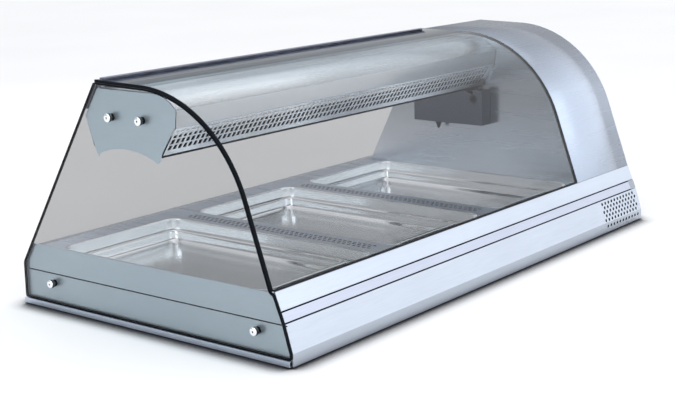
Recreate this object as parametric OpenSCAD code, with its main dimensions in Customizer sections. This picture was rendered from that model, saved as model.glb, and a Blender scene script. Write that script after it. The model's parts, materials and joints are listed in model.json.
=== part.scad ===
// Counter-top hot food display case with three lift-out pans, a curved lifting
// front glass, a heated canopy and a control housing at the right-hand end.
//
// The sizes inside in_case() are counted from the left face (x), the front
// bottom edge (y) and the worktop (z); in_case() moves them to the origin.

/* [Case] */
// Overall length
case_length = 1420; // [1415:5:1500]
// Depth over the side glass
case_depth = 771; // [768:1:780]
// Height of the front glass crown above the worktop
crown_z = 514; // [508:1:518]
// Distance of the crown behind the front edge
crown_y = 506; // [500:1:512]
// Steel sheet thickness
sheet_t = 1.5; // [1:0.25:1.75]

/* [Glass] */
// Pane thickness
glass_t = 6; // [5:0.5:6]
// Radius of the bend in the front pane, on its outer face
bend_r = 296; // [280:1:300]
// Height of the lower edge of the front pane
foot_z = 142; // [140:1:143]
// Hinge pin diameter
hinge_pin_d = 6; // [5:0.5:7]

/* [Wells] */
// Number of wells
well_count = 3; // [1:1:3]
// Width of a well
well_w = 328; // [327:1:328]
// Depth of a well, front to back
well_d = 593; // [560:1:597]
// Distance from one well to the next
well_pitch = 403; // [400:1:403]
// Drop from the deck to the ledge that carries the pan
ledge_drop = 25; // [20:1:30]
// Depth of a pan below its rim
pan_depth = 25; // [20:1:40]

/* [Canopy] */
// Spacing of the grille columns
grille_pitch = 14; // [13:0.5:16]
// Width of a grille hole
grille_hole = 9; // [6:0.2:10]

/* [Control housing] */
// Length of the housing
housing_length = 269; // [265:1:269]
// Thermostat knob diameter
knob_d = 44; // [36:1:50]
// Fan wheel diameter
fan_d = 170; // [140:2:180]

/* [Hidden] */

gap = 0.3;
// Distance of the origin behind the front edge
origin_y = 385;
// How far the screw caps stand out of the left face
cap_proud = 9.2;
cap_h = 9;
cap_d = 18;
round_fn = 96;
small_fn = 32;

// Heights of the base
pan_z = 3;
deck_z = 139;
plinth_z = 28.5;
trim_lo_z = 83.8;
trim_hi_z = 106.5;
side_glass_z = 16;
// Rear of the base: how far the bottom sheet reaches past the panels, and the slope above the break
base_lip = 3;
rear_y = case_depth - 2;
rear_break_z = 95;
rear_top = [rear_y - 25, 134.5];
side_top_y = rear_y - 28;
ledge_y = 712;

// Outline of the front, from the worktop up to the pane
front_line = [[0, pan_z], [0, plinth_z], [16.4, trim_lo_z], [25.4, trim_hi_z], [40, foot_z]];
front_t = 2.2;
front_x0 = glass_t + 0.5;
groove = 1.6;

// Pane line: a straight foot, a bend and a straight crown, tangent to each other
foot = [40, foot_z];
crown = [crown_y, crown_z];
bend_c = [crown_y - 128, crown_z - 299];
foot_a = tangent_angle(foot, -1) + 360;
crown_a = tangent_angle(crown, 1);
bend_steps = 48;
pane_right = case_length - housing_length - 1.5;
pane_rear = crown_y - 1;

// Side pane and the panels behind it
side_rear = [case_depth, 96];
panel_x = glass_t + 1;
panel_t = 2;
deck_x0 = panel_x + panel_t + gap;
housing_x = case_length - housing_length;
housing_rear_foot = [698, foot_z];
rear_lean = atan2(housing_rear_foot.x - crown_y, crown_z - foot_z);

// Wells and pans
well_x0 = 14;
well_rear_y = 655;
well_y0 = well_rear_y - well_d;
well_r = 28;
ledge_w = 12;
ledge_z = deck_z - ledge_drop;
pan_rim_w = 325;
pan_rim_d = 530;
pan_gap = 1.5;
pan_bay_d = pan_rim_d + 2 * pan_gap;
pan_t = 1.2;
pan_r = 20;
pan_clear = 0.2;

// Slots between the wells
slot_rows = 3;
slot_row_pitch = 11;
slot_l = 10;
slot_w = 4.4;
slot_pitch = 13.5;
slot_count = 40;
slot_offset = 26;
slot_y0 = 99.5;

// Canopy section
canopy_x0 = panel_x + panel_t + 0.5;
canopy_x1 = housing_x - 1;
canopy_top = [crown_y, crown_z - 17];
canopy_bend = [350, crown_z - 17];
canopy_bend_r = 92;
canopy_bend_c = canopy_bend - [0, canopy_bend_r];
canopy_steps = 24;
crease_a = 138;
canopy_brow = [285, crown_z - 83];
canopy_lip = [324, crown_z - 140];
canopy_tail = [548.5, crown_z - 77];
back_plate_end = [528, crown_z - 140];
end_toe = [331, crown_z - 154];
end_heel = [513, crown_z - 160.5];
arch_r = 212;
arch_c = [430, crown_z - 350];
arch_toe_a = 115;
arch_heel_a = 68;
reflector_y = [352, 485];
brow_t = 1.2;
lamp_y = 440;
lamp_z = arch_c.y + arch_r - 14;
lamp_r = 5;

// Hinge of the front glass
hinge_y = crown_y + 6;
hinge_z = crown_z - 10;
hinge_pin_len = 20;
block_left_x = panel_x + panel_t + 1;
block_t = 10;
bar_x0 = block_left_x + block_t + 1;
bar_x1 = pane_right - block_t - 2;

// Controls on the housing rear panel: [x, distance down the slope]
knob_at = [1350, 130];
switch_at = [[1215, 150], [1265, 150]];
display_at = [1240, 70];
pilot_at = [1350, 70];
rocker_r = 10.5;
rocker_tilt = 8;
rocker_w = 13;

// Fan
fan_y = 440;
fan_z = 262;
fan_x0 = housing_x + 62;
fan_w = 48;
fan_shaft_d = 8;
fan_blades = 16;

function dir(a) = [cos(a), sin(a)];
function tangent_angle(p, side) =
  atan2(p.y - bend_c.y, p.x - bend_c.x) + side * acos(bend_r / norm(p - bend_c));
function arc_points(c, r, a0, a1, n) = [for (i = [0:n]) c + r * dir(a0 + (a1 - a0) * i / n)];
function reversed(pts) = [for (i = [len(pts) - 1:-1:0]) pts[i]];

// The pane line, o inside it: foot, bend and the crown's front end, then the crown
function bow_front(o) = concat(
  [foot - o * dir(foot_a)], arc_points(bend_c, bend_r - o, foot_a, crown_a, bend_steps)
);
function bow_points(o) = concat(bow_front(o), [crown - o * dir(crown_a)]);
// A point just outside the canopy's back plate, at height z
function back_face(z) =
  [canopy_top.x + 0.8 + (canopy_top.y - z) * (canopy_tail.x - canopy_top.x) / (canopy_top.y - canopy_tail.y), z];
// The point of the pane's foot line at height z, o inside it
function foot_at(o, z) =
  let (p = foot - o * dir(foot_a)) [p.x + (z - p.y) / tan(foot_a - 90), z];
function well_x(i) = well_x0 + i * well_pitch;
function skin(pts, t) = concat(pts, [for (p = reversed(pts)) p + [t, 0]]);

// ---- helpers ---------------------------------------------------------------

module in_case() {
  translate([-(case_length - cap_proud) / 2, -origin_y, 0]) children();
}

// A drawing in the y-z plane, extruded along x
module along_x(x0, len) {
  translate([x0, 0, 0]) rotate([90, 0, 90]) linear_extrude(len) children();
}

module rod_x(p, d, len) {
  translate(p) rotate([0, 90, 0]) cylinder(d = d, h = len, $fn = 48);
}

module slab(p, s) {
  translate(p) cube(s);
}

module rounded_rect(w, d, r) {
  translate([r, 0]) square([w - 2 * r, d]);
  translate([0, r]) square([w, d - 2 * r]);
  for (x = [r, w - r]) {
    for (y = [r, d - r]) translate([x, y]) circle(r = r, $fn = 64);
  }
}

module rounded_frame(w, d, r, t) {
  difference() {
    rounded_rect(w, d, r);
    translate([t, t]) rounded_rect(w - 2 * t, d - 2 * t, r - t);
  }
}

// A sheet of thickness t whose outer face is o inside the pane line, from z0 up
module bow_sheet(o, t, z0, y1) {
  intersection() {
    polygon(concat(bow_points(o), reversed(bow_points(o + t))));
    translate([0, z0]) square([y1, crown_z]);
  }
}

// Section of the control housing, o inside its faces
module housing_section(o) {
  low = deck_z + gap;
  polygon(concat(
    [[46, low], [46, foot_z + 0.5], foot_at(o, foot_z + 0.5)],
    arc_points(bend_c, bend_r - o, foot_a, crown_a, bend_steps), [crown - o * dir(crown_a) - 1.2 * o * dir(crown_a - 90)],
    [[housing_rear_foot.x + 1.4 - o * 1.2, low]]
  ));
}

// Places a child on the housing's sloping rear panel: z out of it, y down it
module on_rear(at) {
  translate([at.x, crown_y + at.y * sin(rear_lean), crown_z - at.y * cos(rear_lean)])
    rotate([rear_lean - 90, 0, 0]) children();
}

module cap_screw(head_d, head_h, shank_d, shank_l) {
  rotate([0, -90, 0]) {
    cylinder(d = head_d, h = head_h, $fn = 48);
    translate([0, 0, -shank_l]) cylinder(d = shank_d, h = shank_l, $fn = small_fn);
  }
}

// Outline of the base end panels
module base_end_section() {
  polygon([
    [front_t + 1, 15], [front_t + 1, plinth_z], [16.4 + front_t + 1, trim_lo_z],
    [25.4 + front_t + 1, trim_hi_z], [38 + front_t + 3, deck_z], [side_top_y, deck_z],
    [rear_y, rear_break_z], [rear_y, 15]
  ]);
}

// ---- base ------------------------------------------------------------------

module base_pan() {
  wall_h = 11.5;
  y0 = 4;
  depth = case_depth + base_lip - y0;
  color([0.74, 0.78, 0.83]) in_case() {
    slab([0, y0, pan_z], [case_length, depth, sheet_t]);
    slab([0, y0, pan_z], [sheet_t, depth, wall_h]);
    slab([0, y0, pan_z + 10], [8, depth, sheet_t]);
    slab([case_length - sheet_t, y0, pan_z], [sheet_t, depth, wall_h]);
    slab([0, y0 + depth - sheet_t, pan_z], [case_length, sheet_t, wall_h]);
    slab([0, y0 + depth - 8, pan_z + 10], [case_length, 8, sheet_t]);
    slab([8, y0, pan_z], [case_length - 8, sheet_t, wall_h]);
  }
}

module base_insulation() {
  color([0.8, 0.78, 0.6]) in_case()
    slab([30, 40, pan_z + sheet_t], [case_length - 60, case_depth - 90, 10]);
}

module air_duct_tray() {
  color([0.7, 0.72, 0.75]) in_case() difference() {
    slab([40, 100, 18], [housing_x + 60, 570, 52]);
    slab([40 + sheet_t, 100 + sheet_t, 18 + sheet_t], [housing_x + 60 - 2 * sheet_t, 570 - 2 * sheet_t, 60]);
  }
}

// One hairpin of heater tube under a well, bent from round rod
module hairpin(x, y, z, span, len) {
  rod = 8;
  for (s = [0, 1]) {
    translate([x + s * span, y, z]) rotate([-90, 0, 0]) cylinder(d = rod, h = len, $fn = small_fn);
  }
  translate([x + span / 2, y, z]) rotate([0, 0, 180]) rotate_extrude(angle = 180, $fn = 64)
    translate([span / 2, 0]) circle(d = rod, $fn = small_fn);
}

module well_heaters() {
  color([0.35, 0.35, 0.37]) in_case() for (i = [0:well_count - 1]) {
    hairpin(well_x(i) + 84, 260, 52, 160, 410 - 3);
  }
}

module rubber_feet() {
  color([0.1, 0.1, 0.1]) in_case() for (x = [70, case_length - 70]) {
    for (y = [70, case_depth - 80]) {
      translate([x, y, 0]) cylinder(d = 44, h = pan_z, $fn = 48);
    }
  }
}

module left_side_panel() {
  color([0.64, 0.70, 0.78]) in_case() difference() {
    along_x(panel_x, panel_t) base_end_section();
    slab([panel_x - 1, 12, 79.6], [1.8, rear_y - 18, 1.6]);
    for (p = base_screw_points()) rod_x([panel_x - 1, p.x, p.y], 6.4, 5);
  }
}

module right_side_panel() {
  color([0.74, 0.78, 0.84]) in_case() difference() {
    along_x(case_length - sheet_t, sheet_t) base_end_section();
    for (i = [0:7]) slab([case_length - 3, 250 + i * 30, 40], [6, 6, 50]);
  }
}

module rear_panel() {
  line = [[rear_y - sheet_t, 15.3], [rear_y - sheet_t, rear_break_z], rear_top];
  vents = 12;
  color([0.74, 0.78, 0.84]) in_case() difference() {
    along_x(deck_x0, case_length - deck_x0 - 2 * sheet_t) polygon([
      line[0] + [sheet_t, 0], line[1] + [sheet_t, 0], line[2], line[2] - [sheet_t, 0],
      line[1], line[0]
    ]);
    for (i = [0:vents - 1]) slab([1180 + i * 14, rear_y - 8, 34], [5, 20, 40]);
    translate([1100, rear_y - 8, 48]) rotate([-90, 0, 0]) cylinder(d = 20.2, h = 20, $fn = 48);
    for (p = rear_screw_points()) {
      translate([p.x, rear_y - 8, p.y]) rotate([-90, 0, 0]) cylinder(d = 4.2, h = 20, $fn = 24);
    }
  }
}

module rear_screws() {
  color([0.85, 0.86, 0.88]) in_case() for (p = rear_screw_points()) {
    translate([p.x, rear_y - 10, p.y]) rotate([-90, 0, 0]) {
      cylinder(d = 4, h = 10, $fn = 24);
      translate([0, 0, 10 + gap / 3]) cylinder(d = 8, h = 2, $fn = small_fn);
    }
  }
}

module cable_gland() {
  color([0.12, 0.12, 0.13]) in_case() translate([1100, rear_y, 48]) rotate([-90, 0, 0]) difference() {
    union() {
      translate([0, 0, -14]) cylinder(d = 20, h = 15, $fn = 48);
      translate([0, 0, 0.1]) cylinder(d = 27, h = 1.8, $fn = 6);
      translate([0, 0, -9]) cylinder(d = 27, h = 5, $fn = 6);
    }
    translate([0, 0, -16]) cylinder(d = 9, h = 24, $fn = 48);
  }
}

module front_lower_panel() {
  top = [front_line[2].x - 0.3, trim_lo_z - groove / 2];
  lean = atan2(front_line[2].x, trim_lo_z - plinth_z);
  vent_d = 8.4;
  vent_pitch = 16.4;
  color([0.88, 0.91, 0.97]) in_case() difference() {
    along_x(front_x0, case_length - front_x0) polygon(skin([front_line[0], front_line[1], top], front_t));
    for (row = [0:4]) {
      for (col = [0:10]) {
        translate([1230 + col * vent_pitch + (row % 2) * vent_pitch / 2, 0, plinth_z])
          rotate([-lean, 0, 0]) translate([0, -5, 6 + row * 10.6])
          rotate([-90, 0, 0]) cylinder(d = vent_d, h = 20, $fn = 24);
      }
    }
    for (col = [0:10]) {
      translate([1238 + col * vent_pitch, -5, 18]) rotate([-90, 0, 0]) cylinder(d = vent_d, h = 20, $fn = 24);
    }
  }
}

function trim_line() =
  [[front_line[2].x + 0.4, trim_lo_z + groove / 2], [front_line[3].x - 0.4, trim_hi_z - groove / 2]];

module front_trim_strip() {
  color([0.83, 0.84, 0.92]) in_case()
    along_x(front_x0, case_length - front_x0 - 26) polygon(skin(trim_line(), front_t));
}

module trim_end_cap() {
  color([0.6, 0.63, 0.67]) in_case()
    along_x(case_length - 25.5, 25.5) polygon(skin(trim_line(), front_t + 0.8));
}

module front_top_rail() {
  lo = [front_line[3].x + 0.4, trim_hi_z + groove / 2];
  back = front_t + 1.6;
  color([0.89, 0.92, 0.98]) in_case() {
    along_x(front_x0, case_length - front_x0) polygon(skin([lo, front_line[4]], front_t));
    along_x(deck_x0, case_length - deck_x0 - 2) {
      polygon(skin([[14 + back, 76], front_line[2] + [back, 0], [26 + back, 108], lo + [back, 3]], sheet_t));
      polygon([lo + [front_t - 0.4, 1], lo + [back + 1, 1], lo + [back + 1, 3], lo + [front_t - 0.4, 3]]);
      translate([front_line[4].x + 0.5, foot_z - sheet_t]) square([4.5, sheet_t]);
    }
  }
}

// ---- deck, wells and pans --------------------------------------------------

module slot(l, w) {
  translate([0, -(l - w) / 2, 0]) cylinder(d = w, h = 9, $fn = 20);
  translate([0, (l - w) / 2, 0]) cylinder(d = w, h = 9, $fn = 20);
  translate([-w / 2, -(l - w) / 2, 0]) cube([w, l - w, 9]);
}

module deck_plate() {
  color([0.68, 0.72, 0.77]) in_case() difference() {
    translate([0, 0, deck_z - sheet_t]) linear_extrude(sheet_t) difference() {
      translate([deck_x0, 46]) square([housing_x - gap - deck_x0, ledge_y - gap - 46]);
      for (i = [0:well_count - 1]) {
        translate([well_x(i) - sheet_t - gap, well_y0 - sheet_t - gap])
          rounded_rect(well_w + 2 * (sheet_t + gap), well_d + 2 * (sheet_t + gap), well_r + sheet_t + gap);
      }
    }
    for (i = [0:well_count - 2]) {
      for (row = [0:slot_rows - 1]) {
        for (n = [0:slot_count - 1]) {
          translate([
            well_x(i) + well_w + slot_offset + row * slot_row_pitch,
            slot_y0 + (n + (row % 2) / 2) * slot_pitch, deck_z - 5
          ]) slot(slot_l, slot_w);
        }
      }
    }
  }
}

module rear_ledge() {
  color([0.62, 0.66, 0.71]) in_case() difference() {
    union() {
      along_x(deck_x0, case_length - deck_x0 - sheet_t - gap) polygon([
        [ledge_y, deck_z + 0.1], rear_top - [2, 0], rear_top - [2, 9], rear_top - [2 + sheet_t, 9],
        rear_top - [2 + sheet_t, sheet_t], [ledge_y, deck_z + 0.1 - sheet_t]
      ]);
      slab([housing_x + gap, 701, deck_z + 0.1 - sheet_t], [housing_length - sheet_t - 2 * gap, 12, sheet_t]);
    }
    for (x = [545, 1136]) slab([x, rear_top.x - 20, deck_z - 8], [4, 14, 12]);
  }
}

module well_frame(i) {
  outer = sheet_t;
  color([0.80, 0.83, 0.88]) in_case() translate([well_x(i) - outer, well_y0 - outer, 0]) {
    translate([0, 0, ledge_z]) linear_extrude(ledge_drop)
      rounded_frame(well_w + 2 * outer, well_d + 2 * outer, well_r + outer, outer);
    translate([0, 0, ledge_z - sheet_t]) linear_extrude(sheet_t) difference() {
      rounded_rect(well_w + 2 * outer, well_d + 2 * outer, well_r + outer);
      translate([outer + ledge_w, outer + well_d - pan_bay_d + ledge_w])
        rounded_rect(well_w - 2 * ledge_w, pan_bay_d - 2 * ledge_w, well_r - ledge_w);
    }
  }
}

module well_frame_1() { well_frame(0); }
module well_frame_2() { well_frame(1); }
module well_frame_3() { well_frame(2); }

module gn_pan(i) {
  margin_x = (well_w - pan_rim_w) / 2;
  body_w = pan_rim_w - 2 * ledge_w + 1;
  body_d = pan_rim_d - 2 * ledge_w + 1;
  inset = ledge_w - 0.5;
  rim_z = ledge_z + pan_clear;
  pan_y = well_rear_y - pan_gap - pan_rim_d;
  color([0.82, 0.85, 0.90]) in_case() translate([well_x(i) + margin_x, pan_y, 0]) difference() {
    union() {
      translate([0, 0, rim_z]) linear_extrude(1.5) rounded_rect(pan_rim_w, pan_rim_d, well_r - 2);
      translate([inset, inset, rim_z - pan_depth + 1.5]) linear_extrude(pan_depth)
        rounded_rect(body_w, body_d, pan_r);
    }
    translate([inset + pan_t, inset + pan_t, rim_z - pan_depth + 1.5 + pan_t]) linear_extrude(pan_depth + 10)
      rounded_rect(body_w - 2 * pan_t, body_d - 2 * pan_t, pan_r - pan_t);
  }
}

module gn_pan_1() { gn_pan(0); }
module gn_pan_2() { gn_pan(1); }
module gn_pan_3() { gn_pan(2); }

// ---- glass -----------------------------------------------------------------

function base_screw_points() = [[87, 60], [677, 60]];
function canopy_screw_points() = [[376, crown_z - 74.5], [465, crown_z - 74.5]];
function rear_screw_points() = [for (x = [60, 400, 740, 1080, 1380]) [x, 70]];

module side_glass() {
  under_pane = glass_t + 1;
  top = crown_z - under_pane;
  rear_run = (side_rear.x - crown_y) / (crown_z - side_rear.y);
  color([0.75, 0.82, 0.83, 0.4]) in_case() difference() {
    along_x(0, glass_t) polygon(concat(
      [[0, side_glass_z], [0, plinth_z], front_line[2], front_line[3], [38.6, foot_z - 3.5]],
      bow_points(under_pane),
      [[crown_y + under_pane * rear_run, top], side_rear, [case_depth, side_glass_z]]
    ));
    for (p = concat(base_screw_points(), canopy_screw_points())) rod_x([-1, p.x, p.y], 8.4, 9);
  }
}

module glass_screws() {
  color([0.93, 0.94, 0.96]) in_case() for (p = concat(base_screw_points(), canopy_screw_points())) {
    translate([cap_h - cap_proud, p.x, p.y]) cap_screw(cap_d, cap_h, 6, 16);
  }
}

module glass_washers() {
  color([0.2, 0.2, 0.22]) in_case() for (p = concat(base_screw_points(), canopy_screw_points())) {
    difference() {
      rod_x([glass_t + 0.05, p.x, p.y], 15, 0.9);
      rod_x([glass_t - 1, p.x, p.y], 6.6, 4);
    }
  }
}

module front_glass() {
  color([0.75, 0.82, 0.83, 0.4]) in_case()
    along_x(0, pane_right) bow_sheet(0, glass_t, foot_z + 2.2, pane_rear);
}

module glass_rest_seal() {
  color([0.08, 0.08, 0.09]) in_case()
    slab([front_x0 + 1, front_line[4].x + 1.5, foot_z + 0.05], [pane_right - front_x0 - 2, 6.5, 1.9]);
}

module glass_hinge_bar() {
  eye_r = hinge_pin_d / 2 + 4;
  color([0.30, 0.30, 0.36]) in_case() difference() {
    along_x(bar_x0, bar_x1 - bar_x0) union() {
      difference() {
        translate([crown_y - 9, crown_z - 10]) square([15, 11]);
        translate([crown_y - 12, crown_z - glass_t - 0.4]) square([11.3, glass_t + 0.8]);
      }
      translate([hinge_y, hinge_z]) circle(r = eye_r, $fn = 48);
    }
    rod_x([bar_x0 - 1, hinge_y, hinge_z], hinge_pin_d + 0.12, hinge_pin_len);
    rod_x([bar_x1 - hinge_pin_len + 1, hinge_y, hinge_z], hinge_pin_d + 0.12, hinge_pin_len);
  }
}

module hinge_blocks() {
  color([0.45, 0.47, 0.52]) in_case() for (x = [block_left_x, bar_x1 + 1]) difference() {
    union() {
      rod_x([x, hinge_y, hinge_z], hinge_pin_d + 4, block_t);
      along_x(x, block_t) polygon([
        [hinge_y - 5, hinge_z], [hinge_y + 5, hinge_z], back_face(450) + [7, 0],
        back_face(450), back_face(canopy_top.y - 0.7)
      ]);
    }
    rod_x([x - 1, hinge_y, hinge_z], hinge_pin_d, block_t + 2);
  }
}

module hinge_pins() {
  reach = 14;
  color([0.85, 0.86, 0.88]) in_case() {
    rod_x([block_left_x, hinge_y, hinge_z], hinge_pin_d, block_t + 1 + reach);
    rod_x([bar_x1 - reach, hinge_y, hinge_z], hinge_pin_d, block_t + 1 + reach);
  }
}

// ---- canopy ----------------------------------------------------------------

function canopy_line(o) = concat(
  [canopy_top - [0, o]],
  arc_points(canopy_bend_c, canopy_bend_r - o, 90, crease_a, canopy_steps),
  [canopy_brow + [o, 0]]
);

module canopy_shell() {
  color([0.78, 0.81, 0.87]) in_case() along_x(canopy_x0, canopy_x1 - canopy_x0)
    polygon(concat(canopy_line(0), reversed(canopy_line(sheet_t))));
}

module canopy_back_plate() {
  under = [sheet_t + 0.4, 0];
  color([0.62, 0.66, 0.72]) in_case() along_x(canopy_x0, canopy_x1 - canopy_x0) polygon([
    [crown_y + 0.2, canopy_top.y], canopy_tail, back_plate_end, back_plate_end - under,
    canopy_tail - under, [crown_y + 0.2, canopy_top.y - 3]
  ]);
}

module canopy_end_section() {
  under = sheet_t + 0.2;
  polygon(concat(
    canopy_line(under), [canopy_brow + [4, -1], canopy_lip + [4, 0], end_toe],
    arc_points(arch_c, arch_r, arch_toe_a, arch_heel_a, canopy_steps),
    [end_heel, canopy_tail - [3, 0.5]]
  ));
}

module canopy_end_left() {
  color([0.64, 0.70, 0.78]) in_case() difference() {
    along_x(panel_x, panel_t) canopy_end_section();
    for (p = canopy_screw_points()) rod_x([panel_x - 1, p.x, p.y], 6.4, 5);
  }
}

module canopy_end_right() {
  color([0.60, 0.64, 0.70]) in_case() difference() {
    along_x(canopy_x1 + 0.1, 0.7) canopy_end_section();
    slab([canopy_x1 - 2, 350, crown_z - 110], [6, 120, 60]);
  }
}

module canopy_grille() {
  slope = canopy_lip - canopy_brow;
  length = norm(slope);
  lean = atan2(slope.x, -slope.y);
  x0 = canopy_x0 + 4;
  columns = floor((canopy_x1 - 26 - x0) / grille_pitch);
  rows = [6.5, 14.5, 30, 45.5];
  heights = [4, 12, 12, 12];
  color([0.80, 0.83, 0.88]) in_case() difference() {
    translate([canopy_x0, canopy_brow.x, canopy_brow.y - 0.9]) rotate([lean, 0, 0])
      translate([0, 0, -length]) cube([canopy_x1 - canopy_x0, brow_t, length]);
    for (row = [0:3]) {
      for (col = [0:columns]) {
        translate([x0 + col * grille_pitch, canopy_brow.x, canopy_brow.y]) rotate([lean, 0, 0])
          translate([0, -5, -rows[row] - heights[row]]) cube([grille_hole, 15, heights[row]]);
      }
    }
  }
}

module lamp_reflector() {
  color([0.85, 0.86, 0.88]) in_case() along_x(canopy_x0 + 0.3, canopy_x1 - canopy_x0 - 1) intersection() {
    difference() {
      translate(arch_c) circle(r = arch_r + 1.2, $fn = 180);
      translate(arch_c) circle(r = arch_r + 0.2, $fn = 180);
    }
    translate([reflector_y[0], arch_c.y]) square([reflector_y[1] - reflector_y[0], arch_r + 2]);
  }
}

module heat_lamp_tube() {
  color([0.95, 0.8, 0.6]) in_case() rod_x([110, lamp_y, lamp_z], 2 * lamp_r, 940);
}

module lamp_holders() {
  color([0.9, 0.9, 0.88]) in_case() for (x = [92, 1050.2]) difference() {
    slab([x, lamp_y - 9, lamp_z - 8], [17.8, 18, 19.5]);
    along_x(x - 1, 20) translate(arch_c) difference() {
      circle(r = arch_r + 30, $fn = 180);
      circle(r = arch_r - 0.1, $fn = 180);
    }
  }
}

module canopy_bracket_box() {
  color([0.62, 0.65, 0.69]) in_case() translate([housing_x - 40, 0, 0]) difference() {
    union() {
      slab([0, 300, 272], [sheet_t, 216, 92]);
      slab([0, 300, 272], [39.5, sheet_t, 92]);
      slab([0, 516 - sheet_t, 272], [39.5, sheet_t, 92]);
      slab([0, 300, 272], [39.5, 216, sheet_t]);
    }
    rod_x([-5, 326, 340], 16.2, 20);
    translate([20, 451, 260]) cylinder(d = 16.2, h = 20, $fn = 48);
    along_x(-1, 60) difference() {
      translate([canopy_lip.x + 4, 340]) square([200, 60]);
      translate(arch_c) circle(r = arch_r - 0.5, $fn = 180);
    }
  }
}

module probe_cone() {
  color([0.16, 0.17, 0.19]) in_case() translate([housing_x - 20, 451, 0]) {
    translate([0, 0, 271.8 - 20]) cylinder(d1 = 5, d2 = 20, h = 20, $fn = 48);
    translate([0, 0, 271.8]) cylinder(d = 16, h = 8, $fn = 48);
  }
}

module cable_grommet() {
  color([0.08, 0.08, 0.09]) in_case() difference() {
    union() {
      rod_x([housing_x - 42, 326, 340], 21, 1.9);
      rod_x([housing_x - 40.5, 326, 340], 16, 4);
    }
    rod_x([housing_x - 45, 326, 340], 9, 20);
  }
}

// ---- control housing -------------------------------------------------------

module housing_shell() {
  color([0.78, 0.83, 0.89]) in_case()
    along_x(housing_x + 0.1, housing_length - sheet_t - 0.3)
      bow_sheet(0, sheet_t, foot_z + 0.4, crown_y - 1);
}

module housing_inner_wall() {
  color([0.52, 0.55, 0.60]) in_case() difference() {
    along_x(housing_x + 0.1, sheet_t) housing_section(sheet_t + 0.2);
    slab([housing_x - 2, 350, crown_z - 110], [6, 120, 60]);
    rod_x([housing_x - 2, 408, 318], 16, 10);
  }
}

module housing_outer_wall() {
  color([0.72, 0.76, 0.82]) in_case() difference() {
    along_x(case_length - sheet_t, sheet_t) housing_section(0);
    for (i = [0:9]) slab([case_length - 4, 260 + i * 26, 190], [8, 7, 60]);
  }
}

module housing_rear_panel() {
  length = norm(housing_rear_foot - crown) - 2;
  color([0.76, 0.80, 0.86]) in_case() difference() {
    on_rear([housing_x + 2, 3.5])
      translate([0, 0, -sheet_t - 0.3]) cube([housing_length - 4, length - 4, sheet_t]);
    on_rear(knob_at) translate([0, 0, -10]) cylinder(d = 10.2, h = 20, $fn = 48);
    for (at = switch_at) on_rear(at) translate([-8.2, -15.2, -10]) cube([16.4, 30.4, 20]);
    on_rear(display_at) translate([-35.2, -13.2, -10]) cube([70.4, 26.4, 20]);
    on_rear(pilot_at) translate([0, 0, -10]) cylinder(d = 10.2, h = 20, $fn = 48);
  }
}

module housing_floor() {
  color([0.6, 0.63, 0.68]) in_case() difference() {
    slab([housing_x + 0.5, 50, deck_z - sheet_t], [housing_length - 3, 640, sheet_t]);
    translate([fan_x0 + fan_w / 2, fan_y, deck_z - 10]) cylinder(d = 120, h = 20, $fn = 64);
  }
}

module fan_bracket() {
  x = fan_x0 + fan_w + 12;
  color([0.6, 0.62, 0.65]) in_case() difference() {
    union() {
      slab([x, fan_y - 90, deck_z + 0.1], [2, 180, fan_z - deck_z + 70]);
      slab([x, fan_y - 90, deck_z + 0.1], [40, 180, 2]);
    }
    rod_x([x - 5, fan_y, fan_z], 36, 20);
  }
}

module fan_motor() {
  x = fan_x0 + fan_w + 14.1;
  color([0.2, 0.21, 0.23]) in_case() {
    rod_x([x, fan_y, fan_z], 92, 58);
    rod_x([x - 13, fan_y, fan_z], 30, 13.5);
    rod_x([fan_x0 + 4, fan_y, fan_z], fan_shaft_d, x - fan_x0);
  }
}

module fan_wheel() {
  blade_l = 22;
  color([0.75, 0.77, 0.80]) in_case() difference() {
    translate([fan_x0, fan_y, fan_z]) rotate([0, 90, 0]) {
      difference() {
        union() {
          translate([0, 0, fan_w - 2]) cylinder(d = fan_d, h = 2, $fn = round_fn);
          translate([0, 0, 6]) cylinder(d = 26, h = fan_w - 8, $fn = 48);
        }
        translate([0, 0, -1]) cylinder(d = fan_shaft_d + 0.12, h = fan_w + 4, $fn = 48);
      }
      difference() {
        cylinder(d = fan_d, h = 3, $fn = round_fn);
        translate([0, 0, -1]) cylinder(d = fan_d - 2 * blade_l, h = 6, $fn = round_fn);
      }
      for (i = [0:fan_blades - 1]) {
        rotate([0, 0, i * 360 / fan_blades]) translate([fan_d / 2 - blade_l + 2, 0, 1]) rotate([0, 0, 30])
          cube([blade_l - 6, 2, fan_w - 2]);
      }
    }
  }
}

module air_heater_coil() {
  ring_x = housing_x + 36;
  color([0.35, 0.3, 0.28]) in_case() {
    for (x = [ring_x, ring_x + 14]) {
      translate([x, fan_y, fan_z]) rotate([0, 90, 0]) rotate_extrude($fn = round_fn)
        translate([75, 0]) circle(d = 8, $fn = small_fn);
    }
    for (z = [-1, 1]) rod_x([ring_x, fan_y, fan_z + z * 75], 6, 14);
    for (y = [-1, 1]) slab([ring_x + 3, fan_y + y * 75 - 3, deck_z + 0.1], [8, 6, fan_z - deck_z]);
  }
}

module control_box() {
  color([0.82, 0.82, 0.80]) in_case() difference() {
    slab([1352, 120, deck_z + 0.2], [60, 190, 96]);
    slab([1354, 122, deck_z + 2.2], [60, 186, 92]);
  }
}

module thermostat_body() {
  color([0.85, 0.84, 0.8]) in_case() on_rear(knob_at) difference() {
    union() {
      translate([-25, -18, -34]) cube([50, 36, 32]);
      translate([0, 0, -4]) cylinder(d = 10, h = 7, $fn = 48);
    }
    translate([0, 0, -20]) cylinder(d = 6.12, h = 30, $fn = 48);
  }
}

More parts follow.
